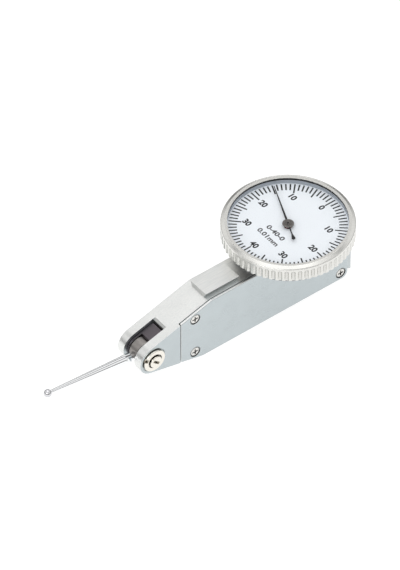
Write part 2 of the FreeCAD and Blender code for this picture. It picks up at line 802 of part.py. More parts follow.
# ---------------------------------------------------------------- lever, drum and stylus
def make_lever():
    """A forked hub on the pivot, with a long arm that reaches into the cavity."""
    body = new_body("lever")
    tail = "(slot_wall - lever_tail_gap)"
    rise = "(hub_radius / cos(top_slope) + (%s - pivot_x) * tan(top_slope))" % tail
    back = [(tail, "pivot_height - lever_belly * " + rise), (tail, "pivot_height + " + rise)]
    add(body, "XZ", "0 - lever_half", "lever_half",
        lambda sketch: draw_nose(sketch, PIVOT, "hub_radius", back))
    add(body, "XZ", "0 - lever_arm_half", "lever_arm_half", polygon([
        ("%s - root_overlap" % tail, "pivot_height - lever_arm_height / 2"),
        ("pin_x + lever_arm_end", "pivot_height - lever_arm_end_half"),
        ("pin_x + lever_arm_end", "pivot_height + lever_arm_end_half"),
        ("%s - root_overlap" % tail, "pivot_height + lever_arm_height / 2"),
    ]))
    cut(body, "XZ", "cheek_thick - lever_half", "lever_half - cheek_thick",
        circles([PIVOT], "hub_radius + drum_gap"))
    # room between the cheeks for the stylus when it is swung right down
    cut(body, "XZ", "cheek_thick - lever_half", "lever_half - cheek_thick", polygon([
        PIVOT,
        ("pivot_x + swivel_room_reach * cos(swivel_room)",
         "pivot_height - swivel_room_reach * sin(swivel_room)"),
        ("pivot_x", "pivot_height - swivel_room_reach"),
    ]))
    # a short relief in the web behind the root of the stylus when it is swung up
    cut(body, "XZ", "cheek_thick - lever_half", "lever_half - cheek_thick", polygon([
        PIVOT,
        ("pivot_x - swivel_room_reach", "pivot_height + swivel_room_reach"),
        ("pivot_x + swivel_room_reach * sin(swivel_relief)",
         "pivot_height + swivel_room_reach * cos(swivel_relief)"),
    ]))
    cut(body, "XZ", "0 - lever_half - 1", "lever_half + 1", circles([PIVOT], "axle"))
    cut(body, "XZ", "0 - lever_half - 1", "lever_half + 1",
        circles([("pin_x", "pivot_height")], "drive_pin"))
    return body


def make_stylus_carrier():
    body = new_body("stylus_carrier")
    add(body, "XZ", "0 - drum_half", "drum_half", circles([CENTRE], "drum_radius"))
    cut(body, "XZ", "0 - drum_half - 1", "drum_half + 1", circles([CENTRE], "axle_bore"))
    cut(body, "YZ", "stylus_seat", "drum_radius + 1", circles([("0", "stylus_drop")], "stylus_thread"))
    place(body, ("pivot_x", "0", "pivot_height"), (0, 1, 0), "180 + stylus_tilt")
    return body


def make_stylus():
    """Turned along its own axis from the root to the neck of the ball."""
    body = turned("stylus", [
        ("0", "stylus_seat"),
        ("stylus_thread", "stylus_seat"),
        ("stylus_thread", "stylus_root - stylus_groove"),
        ("stylus_shank - stylus_chamfer", "stylus_root"),
        ("stylus_shank", "stylus_root + stylus_chamfer"),
        ("stylus_shank", "stylus_root + stylus_collar"),
        ("stylus_neck", "ball_seat"),
        ("0", "ball_seat"),
    ])
    low = "stylus_root + stylus_chamfer"
    for side in (-1, 1):
        cut(body, "XZ", *facing(side, "stylus_flat", "stylus_shank + 1"),
            box(("0 - stylus_shank - 1", low), ("stylus_shank + 1", low + " + stylus_flat_length")))
    lay_along_stylus(body)
    return body


def lay_along_stylus(body):
    """Lays a piece that is turned about Z along the stylus, measured from below the pivot."""
    place(body, ("pivot_x - stylus_drop * sin(stylus_tilt)", "0",
                 "pivot_height - stylus_drop * cos(stylus_tilt)"), (0, 1, 0), "stylus_tilt - 90")


def make_stylus_ball():
    """A ball with the flat where it meets the neck."""
    sphere = doc.addObject("Part::Sphere", "ball_solid")
    bind(sphere, "Radius", "ball")
    bind(sphere, "Placement.Base.z", "stylus_length")
    block = doc.addObject("Part::Cylinder", "ball_flat")
    bind(block, "Radius", "ball * 2")
    bind(block, "Height", "ball")
    bind(block, "Placement.Base.z", "ball_seat - ball")
    ball = doc.addObject("Part::Cut", "stylus_ball")
    ball.Base = sphere
    ball.Tool = block
    lay_along_stylus(ball)
    return ball


def make_clutch_washers():
    body = new_body("clutch_washers")
    for side in (-1, 1):
        low, high = facing(side, "drum_half + drum_gap", "lever_half - cheek_thick")
        add(body, "XZ", low, high, rings([PIVOT], "drum_radius - washer_step", "axle"))
    return body


# ---------------------------------------------------------------- movement
def make_movement_bridge():
    body = new_body("movement_bridge")
    nose = "sector_x - bridge_nose"
    tail = "bridge_screw_rear + bridge_tail"
    front = "0 - bridge_screw_front - bridge_side"
    rear = "bridge_side - bridge_screw_front"
    foot = "pivot_height - bridge_screw_rise - bridge_end"
    head = "cavity_top - bridge_screw_top + bridge_end"
    add(body, "XZ", "bridge_near", "bridge_far", polygon([
        (nose, "pivot_height - bridge_waist"),
        (front, foot),
        (rear, foot),
        (tail, "pivot_height - bridge_waist"),
        (tail, "pivot_height + bridge_waist"),
        (rear, head),
        (front, head),
        (nose, "pivot_height + bridge_waist"),
    ]))
    cut(body, "XZ", "bridge_near - 1", "bridge_far + 1",
        circles(BRIDGE_SCREWS, "bridge_screw_shank + bridge_screw_play"))
    cut(body, "XZ", "bridge_near - 1", "bridge_seat",
        circles(BRIDGE_SCREWS, "bridge_screw_head + bridge_screw_play"))
    cut(body, "XZ", "bridge_near - 1", "bridge_far - jewel_thick",
        circles(ARBORS, "jewel_radius - jewel_window"))
    cut(body, "XZ", "bridge_far - jewel_thick", "bridge_far + 1", circles(ARBORS, "jewel_radius"))
    return body


def make_bridge_screws():
    body = new_body("bridge_screws")
    add(body, "XZ", "bridge_near", "bridge_seat", circles(BRIDGE_SCREWS, "bridge_screw_head"))
    add(body, "XZ", "bridge_seat", "bridge_thread_end", circles(BRIDGE_SCREWS, "bridge_screw_shank"))
    cut(body, "XZ", "bridge_near - 1", "bridge_near + bridge_cross_depth",
        crosses(BRIDGE_SCREWS, "bridge_cross_arm", "bridge_cross_half"))
    return body


def make_jewel_bearings():
    body = new_body("jewel_bearings")
    for low in ("bridge_far - jewel_thick", "cavity_far"):
        add(body, "XZ", low, low + " + jewel_thick", rings(ARBORS, "jewel_radius", "jewel_bore"))
    return body


def make_centre_jewels():
    body = new_body("centre_jewels")
    for low in ("bush_low", "bush_top - jewel_thick"):
        add(body, "XY", low, low + " + jewel_thick", rings([CENTRE], "jewel_radius", "jewel_bore"))
    return body


def arbor_steps():
    """An arbor between the near and the far jewel."""
    return [
        ("arbor", "bridge_far + shoulder_gap", "cavity_far - shoulder_gap"),
        ("journal", "bridge_far - jewel_thick + end_shake", "bridge_far + shoulder_gap"),
        ("journal", "cavity_far - shoulder_gap", "cavity_far + jewel_thick - end_shake"),
    ]


def make_sector_gear():
    body = new_body("sector_gear")
    low = "sector_low"
    high = "sector_low + sector_thick"
    pitch = "360 / sector_teeth"
    half_count = "floor(sector_span * sector_teeth / 360)"
    root = "(sector_radius - tooth_fall)"
    steps = 8
    rim = [("%s * cos(sector_span * %d / %d)" % (root, index, steps),
            "%s * sin(sector_span * %d / %d)" % (root, index, steps))
           for index in range(-steps, steps + 1, 2)]
    add(body, "XZ", low, high, polygon([("0", "0 - sector_waist")] + rim + [("0", "sector_waist")]))
    add(body, "XZ", low, high, circles([CENTRE], "sector_hub"))
    add(body, "XZ", low, high, box(("0 - sector_input - sector_tail", "0 - sector_tail_half"),
                                   ("0 - sector_tail_root", "sector_tail_half")))
    first = add(body, "XZ", low, high,
                tooth("(0 - %s * %s)" % (half_count, pitch), "(%s - tooth_bite)" % root,
                      "(sector_radius + tooth_rise)", "tooth_root_half", "tooth_tip_half"))
    pattern(body, [first], "2 * %s * %s" % (half_count, pitch), "2 * %s + 1" % half_count)
    cut(body, "XZ", low + " - 1", high + " + 1", circles([CENTRE], "arbor"))
    cut(body, "XZ", low + " - 1", high + " + 1",
        box(("0 - sector_input - sector_slot_half", "0 - drive_pin - running_fit"),
            ("sector_slot_half - sector_input", "drive_pin + running_fit")))
    cut(body, "XZ", low + " - 1", high + " + 1", polygon([
        ("sector_window_low", "0 - sector_slot_half"),
        ("sector_radius - sector_window_rim", "0 - sector_window_half"),
        ("sector_radius - sector_window_rim", "sector_window_half"),
        ("sector_window_low", "sector_slot_half"),
    ]))
    place(body, ("sector_x", "0", "pivot_height"))
    return body


def make_pinion(body, plane, low, high, centre_bore, teeth, radius):
    """Adds a small toothed wheel about the body's own axis."""
    root = "(%s - tooth_fall)" % radius
    draw = rings([CENTRE], root, centre_bore) if centre_bore else circles([CENTRE], root)
    add(body, plane, low, high, draw)
    first = add(body, plane, low, high,
                tooth("(180 / %s)" % teeth, "(%s - pinion_bite)" % root, "(%s + tooth_rise)" % radius,
                      "tooth_root_half", "tooth_tip_half"))
    pattern(body, [first], "360", teeth)


def make_crown_arbor():
    body = stack("crown_arbor", CENTRE, arbor_steps())
    make_pinion(body, "XZ", "sector_low - pinion_overhang", "sector_low + sector_thick + pinion_overhang",
                None, "arbor_pinion_teeth", "pinion_radius")
    place(body, ("0", "0", "pivot_height"))
    return body


def make_sector_arbor():
    body = stack("sector_arbor", CENTRE, arbor_steps())
    place(body, ("sector_x", "0", "pivot_height"))
    return body


def make_crown_gear():
    """A contrate wheel: its teeth stand up from the face towards the centre pinion."""
    body = new_body("crown_gear")
    reach = "(crown_radius + tooth_rise)"
    add(body, "XZ", "crown_floor - crown_thick", "crown_floor", rings([CENTRE], reach, "arbor"))
    first = add(body, "XZ", "crown_floor", "crown_face",
                tooth("90", "(crown_radius - crown_tooth_length)", reach, "crown_tooth_half",
                      "crown_tooth_half"))
    pattern(body, [first], "360", "crown_teeth")
    place(body, ("0", "0", "pivot_height"))
    return body


def make_centre_pinion():
    body = new_body("centre_pinion")
    mesh = "pivot_height + crown_radius"
    make_pinion(body, "XY", mesh + " - centre_pinion_below", mesh + " + centre_pinion_above",
                "arbor", "centre_pinion_teeth", "centre_radius")
    return body


def make_centre_arbor():
    foot = "pivot_height + crown_radius - centre_foot"
    head = "pointer_level + pointer_thick + centre_top"
    return turned("centre_arbor", [
        ("0", foot),
        ("arbor", foot),
        ("arbor", "bush_low - end_shake"),
        ("journal", "bush_low - end_shake"),
        ("journal", "bush_low + jewel_thick + end_shake"),
        ("arbor", "bush_low + jewel_thick + end_shake"),
        ("arbor", "bush_top - jewel_thick - end_shake"),
        ("journal", "bush_top - jewel_thick - end_shake"),
        ("journal", head),
        ("0", head),
    ])


def make_hairspring():
    """A flat spiral strip between the collet and the stud."""
    width = number("hairspring_width")
    strip = number("hairspring_strip")
    inner = number("collet_radius") + strip
    outer = number("hairspring_outer")
    turns = number("hairspring_turns")
    steps = 90
    edges = []
    for side in (-1, 1):
        points = []
        for index in range(steps + 1):
            share = index / steps
            radius = inner + (outer - inner) * share + side * strip / 2
            angle = math.pi / 2 + 2 * math.pi * turns * (share - 1)
            points.append(FreeCAD.Vector(radius * math.cos(angle), 0, radius * math.sin(angle)))
        curve = Part.BSplineCurve()
        curve.interpolate(points)
        edges.append(curve.toShape())
    ends = [Part.makeLine(edges[0].Vertexes[end].Point, edges[1].Vertexes[end].Point) for end in (0, -1)]
    face = Part.Face(Part.Wire([edges[0], ends[1], edges[1], ends[0]]))
    spring = doc.addObject("Part::Feature", "hairspring")
    spring.Shape = face.extrude(FreeCAD.Vector(0, width, 0))
    place(spring, ("0", "hairspring_near", "pivot_height"))
    return spring


def make_hairspring_stud():
    body = new_body("hairspring_stud")
    rise = "pivot_height + hairspring_outer + hairspring_strip / 2 + stud_gap + stud"
    add(body, "XZ", "hairspring_near - stud_overhang", "cavity_far", circles([("0", rise)], "stud"))
    return body


# ---------------------------------------------------------------- dial case, bezel and dial
def make_dial_case():
    body = turned("dial_case", [
        ("bush_radius", "case_low"),
        ("case_radius", "case_low"),
        ("case_radius", "flange_low"),
        ("flange_radius", "flange_low"),
        ("flange_radius", "flange_top"),
        ("case_radius - case_wall", "flange_top"),
        ("case_radius - case_wall", "case_seat"),
        ("bush_radius", "case_seat"),
    ])
    cut(body, "XY", "case_low - 1", "case_seat",
        circles(CASE_SCREWS, "case_screw_shank + case_screw_play"))
    return body


def make_case_screws():
    body = new_body("case_screws")
    head = "case_seat + case_screw_head_thick"
    add(body, "XY", "case_seat", head, circles(CASE_SCREWS, "case_screw_head"))
    add(body, "XY", "case_seat - case_screw_length", "case_seat",
        circles(CASE_SCREWS, "case_screw_shank"))
    cut(body, "XY", head + " - case_cross_depth", head + " + 1",
        crosses(CASE_SCREWS, "case_cross_arm", "case_cross_half"))
    return body


def make_centre_bush():
    neck = "bush_radius - bush_relief"
    bore = "arbor + bush_relief"
    flange = "case_seat + bush_flange_thick"
    return turned("centre_bush", [
        ("jewel_radius", "bush_low"),
        ("bush_radius", "bush_low"),
        ("bush_radius", "case_seat"),
        ("bush_flange", "case_seat"),
        ("bush_flange", flange),
        (neck, flange),
        (neck, "bush_top"),
        ("jewel_radius", "bush_top"),
        ("jewel_radius", "bush_top - jewel_thick"),
        (bore, "bush_top - jewel_thick"),
        (bore, "bush_low + jewel_thick"),
        ("jewel_radius", "bush_low + jewel_thick"),
    ])


def make_bezel():
    """The knurled ring, with a groove inside for the snap ring."""
    body = turned("bezel", [
        ("bezel_bore", "bezel_foot"),
        ("bezel_radius - bezel_foot_chamfer", "bezel_foot"),
        ("bezel_radius", "bezel_foot + bezel_foot_chamfer"),
        ("bezel_radius", "bezel_top - bezel_slope"),
        ("bezel_ring", "bezel_top"),
        ("bezel_lip", "bezel_top"),
        ("bezel_lip", "crystal_top"),
        ("bezel_bore", "crystal_top"),
        ("bezel_bore", "snap_low + snap_wire"),
        ("bezel_bore + snap_groove", "snap_low + snap_wire"),
        ("bezel_bore + snap_groove", "snap_low"),
        ("bezel_bore", "snap_low"),
    ])
    shoulder = number("bezel_top - bezel_slope")
    crown = number("bezel_top")
    rim = number("bezel_ring")
    round_edges(body, "bezel_shoulder_round", lambda edge: lies_on(edge, "z", shoulder))
    round_edges(body, "bezel_crown_round",
                lambda edge: lies_on(edge, "z", crown) and abs(edge.Curve.Radius - rim) < 1e-3)
    before = body.Shape.Volume
    sketch = new_sketch(body, "XZ", "0")
    draw_flute(sketch, "bezel_radius + flute_radius - flute_depth", "bezel_foot - 1",
               "bezel_top - bezel_slope - flute_top - flute_radius", "flute_radius")
    groove = body.newObject("PartDesign::Groove", "flute")
    groove.Profile = sketch
    groove.ReferenceAxis = (sketch, ["Edge1"])
    groove.Angle = 360
    doc.recompute()
    if body.Shape.Volume >= before:
        raise ValueError("the flute removed nothing")
    repeat = body.newObject("PartDesign::PolarPattern", "flutes")
    repeat.Originals = [groove]
    repeat.Axis = (sketch, ["V_Axis"])
    repeat.Angle = 360
    bind(repeat, "Occurrences", "flute_count")
    body.Tip = repeat
    doc.recompute()
    return body


def flat_ring(name, bore, radius, low, high):
    return turned(name, [(bore, low), (radius, low), (radius, high), (bore, high)])


def make_snap_ring():
    body = flat_ring("bezel_snap_ring", "case_radius + snap_inside", "bezel_bore + snap_bite",
                     "snap_low", "snap_low + snap_wire")
    cut(body, "XY", "snap_low - 1", "snap_low + 1",
        box(("0", "0 - snap_opening"), ("bezel_radius", "snap_opening")))
    return body


def make_pointer():
    body = new_body("pointer")
    low = "pointer_level"
    high = "pointer_level + pointer_thick"
    add(body, "XY", low, high, rings([CENTRE], "pointer_collar", "pointer_bore"))
    add(body, "XY", low, high, polygon([
        ("pointer_root", "0 - pointer_width / 2"),
        ("pointer_length", "0 - pointer_tip_width / 2"),
        ("pointer_length", "pointer_tip_width / 2"),
        ("pointer_root", "pointer_width / 2"),
    ]))
    # the tail widens into a paddle with a round end
    broad = "pointer_paddle_width / 2"
    add(body, "XY", low, high, polygon([
        ("0 - pointer_root", "0 - pointer_tail_width / 2"),
        ("0 - pointer_root", "pointer_tail_width / 2"),
        ("pointer_paddle - pointer_tail", "pointer_tail_width / 2"),
        ("%s - pointer_tail" % broad, broad),
        ("%s - pointer_tail" % broad, "0 - " + broad),
        ("pointer_paddle - pointer_tail", "0 - pointer_tail_width / 2"),
    ]))
    add(body, "XY", low, high, circles([("%s - pointer_tail" % broad, "0")], broad))
    place(body, ("0", "0", "0"), (0, 0, 1), "pointer_rest")
    return body


def make_pointer_hub():
    top = "pointer_level + pointer_thick"
    return turned("pointer_hub", [
        ("journal", "pointer_level - pointer_hub_drop"),
        ("pointer_bore", "pointer_level - pointer_hub_drop"),
        ("pointer_bore", top),
        ("pointer_hub_radius", top),
        ("pointer_hub_radius", top + " + pointer_hub_thick - pointer_hub_edge"),
        ("pointer_bore", top + " + pointer_hub_thick"),
        ("pointer_bore", top + " + pointer_hub_rise"),
        ("journal", top + " + pointer_hub_rise"),
    ])


def make_drive_pin():
    return stack("drive_pin", ("pin_x", "pivot_height"),
                 [("drive_pin", "0 - lever_arm_half", "sector_low + sector_thick + drive_pin_proud")])


def make_pivot_axle():
    return stack("pivot_axle", PIVOT, [("axle", "0 - screw_end - axle_hold", "screw_end + axle_hold")])


def make_hairspring_collet():
    body = new_body("hairspring_collet")
    add(body, "XZ", "hairspring_near - collet_overhang",
        "hairspring_near + hairspring_width + collet_overhang",
        rings([("0", "pivot_height")], "collet_radius", "arbor"))
    return body


nodes = [
    make_body_frame(),
    make_side_cover(),
    make_cover_screws(),
    make_bearing_ring("bearing_ring_near", -1),
    make_bearing_ring("bearing_ring_far", 1),
    make_pivot_screw("pivot_screw_near", -1),
    make_pivot_screw("pivot_screw_far", 1),
    make_movement_bridge(),
    make_bridge_screws(),
    make_jewel_bearings(),
    make_centre_jewels(),
    make_centre_bush(),
    make_dial_case(),
    make_case_screws(),
    flat_ring("bezel_drag_ring", "case_radius + drag_ring_inside", "bezel_bore - drag_ring_outside",
              "flange_low - drag_ring_thick", "flange_low"),
    make_hairspring(),
    make_hairspring_stud(),
    make_bezel(),
    make_snap_ring(),
    flat_ring("dial_retainer", "bezel_bore - retainer_width", "bezel_bore",
              "flange_top + retainer_gap", "dial_low"),
    flat_ring("dial_plate", "dial_bore", "bezel_bore", "dial_low", "dial_face"),
    flat_ring("spacer_ring", "bezel_lip", "bezel_bore", "dial_face", "gasket_low"),
    flat_ring("crystal_gasket", "bezel_lip + gasket_inside", "bezel_bore", "gasket_low", "crystal_low"),
    turned("crystal", [("0", "crystal_low"), ("bezel_bore", "crystal_low"),
                       ("bezel_bore", "crystal_top"), ("0", "crystal_top")]),
    make_lever(),
    make_pivot_axle(),
    make_drive_pin(),
    make_clutch_washers(),
    make_stylus_carrier(),
    make_stylus(),
    make_stylus_ball(),
    make_sector_gear(),
    make_sector_arbor(),
    make_crown_gear(),
    make_crown_arbor(),
    make_hairspring_collet(),
    make_centre_arbor(),
    make_centre_pinion(),
    make_pointer_hub(),
    make_pointer(),
]

doc.recompute()
for item in doc.Objects:
    if "Invalid" in item.State or "Error" in item.State:
        raise ValueError("%s failed to compute: %s" % (item.Name, item.State))
os.makedirs("parts", exist_ok=True)
for node in nodes:
    if node.Shape.isNull() or not node.Shape.isValid():
        raise ValueError("%s has no valid shape" % node.Label)
    node.Shape.exportStep("parts/%s.step" % node.Label)
    print("%-20s %2d solids %10.3f mm3" % (node.Label, len(node.Shape.Solids), node.Shape.Volume))
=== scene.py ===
"""Looks of the lever dial test indicator: materials, dial print, light and camera."""

import json
import math

import bpy
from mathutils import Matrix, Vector


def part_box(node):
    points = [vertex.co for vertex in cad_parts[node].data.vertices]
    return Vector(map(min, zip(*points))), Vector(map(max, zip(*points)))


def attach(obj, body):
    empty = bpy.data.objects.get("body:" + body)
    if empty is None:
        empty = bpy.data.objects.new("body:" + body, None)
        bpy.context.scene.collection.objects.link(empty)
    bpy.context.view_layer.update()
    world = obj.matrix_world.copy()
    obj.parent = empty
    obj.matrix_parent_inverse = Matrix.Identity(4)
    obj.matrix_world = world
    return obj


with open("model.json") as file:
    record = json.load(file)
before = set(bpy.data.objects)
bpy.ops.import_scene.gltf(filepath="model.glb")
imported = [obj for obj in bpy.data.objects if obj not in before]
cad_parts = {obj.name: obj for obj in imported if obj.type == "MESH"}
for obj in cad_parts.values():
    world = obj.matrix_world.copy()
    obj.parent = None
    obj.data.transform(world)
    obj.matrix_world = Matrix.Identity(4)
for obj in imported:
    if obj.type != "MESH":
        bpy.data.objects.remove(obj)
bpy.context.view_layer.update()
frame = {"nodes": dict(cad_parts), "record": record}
nodes = frame["nodes"]
MM = 0.001

# grain directions: how much each axis is stretched
EVEN = (1, 1, 1)
ALONG_X = (0.05, 1, 1)
ALONG_Z = (1, 1, 0.05)

# noise: features per metre, and how rough the noise itself is
NOISE_ROUGHNESS = 0.55
METAL_CLOUD = 260.0
COAT_CLOUD = 300.0
SMEAR_SCALE = 400.0
SPECK_SCALE = 24000.0
SPECK_HEIGHT = 0.2

# how far a rounded normal leans where the worn edge and its painted highlight start, and where they are
# full
EDGE_SAMPLES = 6
EDGE_START = 0.995
EDGE_FULL = 0.9

# how squarely a face looks across the body where the side tone, a painted shade, starts, and where it is
# full
SIDE_START = 0.55
SIDE_FULL = 0.95

# openness where the painted shade in corners and recesses is full, and where it ends, and that shade's
# colour
CREVICE_SAMPLES = 8
CREVICE_DEEP = 0.25
CREVICE_OPEN = 0.85
PAINTED_SHADE_COLOR = (0.012, 0.011, 0.010)

GRAIN_DARK = 0.35
COAT_SPREAD = 0.04
METAL_RELIEF = 0.01 * MM
COAT_RELIEF = 0.005 * MM
CRYSTAL_IOR = 1.2
CRYSTAL_ROUGHNESS = (0.01, 0.05)


# ---------------------------------------------------------------- node helpers
def new_material(name):
    """A node material with only a principled shader and its output, and its tree and shader."""
    material = bpy.data.materials.new(name)
    material.use_nodes = True
    tree = material.node_tree
    tree.nodes.clear()
    shader = tree.nodes.new("ShaderNodeBsdfPrincipled")
    output = tree.nodes.new("ShaderNodeOutputMaterial")
    tree.links.new(shader.outputs[0], output.inputs[0])
    return material, tree, shader


def add_node(tree, kind, inputs=None, **settings):
    """Makes a node, sets its options and fills its inputs with values or sockets."""
    item = tree.nodes.new("ShaderNode" + kind)
    for key, value in settings.items():
        setattr(item, key, value)
    for key, value in (inputs or {}).items():
        if isinstance(value, bpy.types.NodeSocket):
            tree.links.new(value, item.inputs[key])
        else:
            item.inputs[key].default_value = value
    return item


def noise(tree, scale, stretch=EVEN, detail=3.0):
    """Noise in object space, in features per metre, stretched along the axes."""
    coordinates = add_node(tree, "TexCoord")
    mapping = add_node(tree, "Mapping", {"Vector": coordinates.outputs["Object"],
                                         "Scale": tuple(scale * axis for axis in stretch)})
    texture = add_node(tree, "TexNoise", {"Vector": mapping.outputs[0], "Scale": 1.0,
                                          "Detail": detail, "Roughness": NOISE_ROUGHNESS})
    return texture.outputs["Fac"]


def remap(tree, value, low, high, start=0.3, end=0.7):
    """Maps a value between start and end to the range from low to high, and clamps it."""
    item = add_node(tree, "MapRange", {"Value": value, "From Min": start, "From Max": end,
                                       "To Min": low, "To Max": high})
    return item.outputs[0]


def tint(tree, value, first, second, start=0.3, end=0.7):
    """Mixes two colours by a noise value."""
    ramp = add_node(tree, "ValToRGB", {"Fac": value})
    ramp.color_ramp.elements[0].position = start
    ramp.color_ramp.elements[0].color = (*first, 1)
    ramp.color_ramp.elements[1].position = end
    ramp.color_ramp.elements[1].color = (*second, 1)
    return ramp.outputs[0]


def mix(tree, factor, first, second):
    """Mixes two colours or colour sockets."""
    colors = [value if isinstance(value, bpy.types.NodeSocket) else (*value, 1)
              for value in (first, second)]
    item = add_node(tree, "MixRGB", {"Fac": factor, "Color1": colors[0], "Color2": colors[1]})
    return item.outputs[0]


def around(color, share):
    """A darker and a lighter colour, each a share away from the given one."""
    return [tuple(min(1.0, component * (1 + step)) for component in color) for step in (-share, share)]


def edge_wear(tree, radius):
    """A rounded normal, and 1 on edges and 0 on flats from how far it leans; edges get wear and a
    painted highlight.
    """
    rounded = add_node(tree, "Bevel", {"Radius": radius}, samples=EDGE_SAMPLES)
    geometry = add_node(tree, "NewGeometry")
    likeness = add_node(tree, "VectorMath", {0: rounded.outputs[0], 1: geometry.outputs["Normal"]},
                        operation="DOT_PRODUCT")
    wear_and_highlight = remap(tree, likeness.outputs["Value"], 0.0, 1.0, EDGE_START, EDGE_FULL)
    return rounded.outputs[0], wear_and_highlight


def side_mask(tree):
    """1 on faces that look across the body, where the side tone paints shade, and 0 on all others."""
    coordinates = add_node(tree, "TexCoord")
    parts = add_node(tree, "SeparateXYZ", {0: coordinates.outputs["Normal"]})
    across = add_node(tree, "Math", {0: parts.outputs["Y"]}, operation="ABSOLUTE")
    return remap(tree, across.outputs[0], 0.0, 1.0, SIDE_START, SIDE_FULL)


def crevices(tree, amount, reach):
    """The given amount of painted shade in corners and recesses, and 0 on open faces."""
    openness = add_node(tree, "AmbientOcclusion", {"Distance": reach}, samples=CREVICE_SAMPLES)
    return remap(tree, openness.outputs["AO"], amount, 0.0, CREVICE_DEEP, CREVICE_OPEN)


def metal(name, color, roughness, grain=EVEN, scale=6000.0, bump=0.05, variation=0.03, spread=0.06,
          edge=0.06 * MM, edge_highlight=0.12, side=None, painted_shade=0.0, reach=0.5 * MM):
    """A metal with directional grain, cloudy tone, fine specks, and worn edges lightened as a painted
    highlight.

    side is another tone for faces that look across the body, a painted shade; corners within reach are
    darkened by a painted shade of the given amount.
    """
    material, tree, shader = new_material(name)
    fine = noise(tree, scale, grain, detail=4.0)
    cloud = noise(tree, METAL_CLOUD, detail=2.0)
    speck = noise(tree, SPECK_SCALE, detail=1.0)
    tone = tint(tree, cloud, *around(color, variation))
    # painted shade: faces that look across the body take the darker, bluer side tone
    if side:
        tone = mix(tree, side_mask(tree), tone, tint(tree, cloud, *around(side, variation)))
    tone = mix(tree, remap(tree, fine, 0.0, GRAIN_DARK), tone, around(side or color, variation)[0])
    # worn edges, lightened towards a brighter tone as a painted highlight
    normal, wear_and_highlight = edge_wear(tree, edge)
    tone = mix(tree, wear_and_highlight, tone, around(color, edge_highlight)[1])
    # painted shade: corners and recesses darkened towards near black
    if painted_shade:
        tone = mix(tree, crevices(tree, painted_shade, reach), tone, PAINTED_SHADE_COLOR)
    tree.links.new(tone, shader.inputs["Base Color"])
    shader.inputs["Metallic"].default_value = 1.0
    rough = remap(tree, fine, roughness - spread / 2, roughness + spread / 2)
    smear = remap(tree, cloud, -spread / 3, spread / 3)
    total = add_node(tree, "Math", {0: rough, 1: smear}, operation="ADD")
    tree.links.new(total.outputs[0], shader.inputs["Roughness"])
    height = add_node(tree, "Math", {0: fine, 1: remap(tree, speck, 0.0, SPECK_HEIGHT)}, operation="ADD")
    relief = add_node(tree, "Bump", {"Strength": bump, "Distance": METAL_RELIEF,
                                     "Height": height.outputs[0], "Normal": normal})
    tree.links.new(relief.outputs[0], shader.inputs["Normal"])
    return material


def coated(name, color, roughness, mottle=0.03, scale=6000.0, bump=0.05, coat=0.0):
    """Paint, print, plastic or rubber with a fine uneven surface."""
    material, tree, shader = new_material(name)
    grain = noise(tree, scale, detail=4.0)
    cloud = noise(tree, COAT_CLOUD, detail=2.0)
    tree.links.new(tint(tree, cloud, *around(color, mottle)), shader.inputs["Base Color"])
    rough = remap(tree, grain, roughness - COAT_SPREAD, roughness + COAT_SPREAD)
    tree.links.new(rough, shader.inputs["Roughness"])
    shader.inputs["Coat Weight"].default_value = coat
    relief = add_node(tree, "Bump", {"Strength": bump, "Distance": COAT_RELIEF, "Height": grain})
    tree.links.new(relief.outputs[0], shader.inputs["Normal"])
    return material


def clear_glass(name):
    """Thin clear acrylic with faint smears, and a gloss on the outside that grows at grazing angles."""
    material, tree, shader = new_material(name)
    tree.nodes.remove(shader)
    smears = noise(tree, SMEAR_SCALE)
    clear = add_node(tree, "BsdfTransparent")
    gloss = add_node(tree, "BsdfGlossy", {"Roughness": remap(tree, smears, *CRYSTAL_ROUGHNESS)})
    sheen = add_node(tree, "Fresnel", {"IOR": CRYSTAL_IOR})
    geometry = add_node(tree, "NewGeometry")
    outside = remap(tree, geometry.outputs["Backfacing"], 1.0, 0.0, 0.0, 1.0)
    amount = add_node(tree, "Math", {0: sheen.outputs[0], 1: outside}, operation="MULTIPLY")
    body = add_node(tree, "MixShader", {0: amount.outputs[0], 1: clear.outputs[0],
                                        2: gloss.outputs[0]})
    output = next(item for item in tree.nodes if item.type == "OUTPUT_MATERIAL")
    tree.links.new(body.outputs[0], output.inputs[0])
    return material


# ---------------------------------------------------------------- materials of the CAD nodes
# painted shade: the darker, bluer tone of faces that look across the body
SIDE_SHADE_TONE = (0.52, 0.568, 0.582)


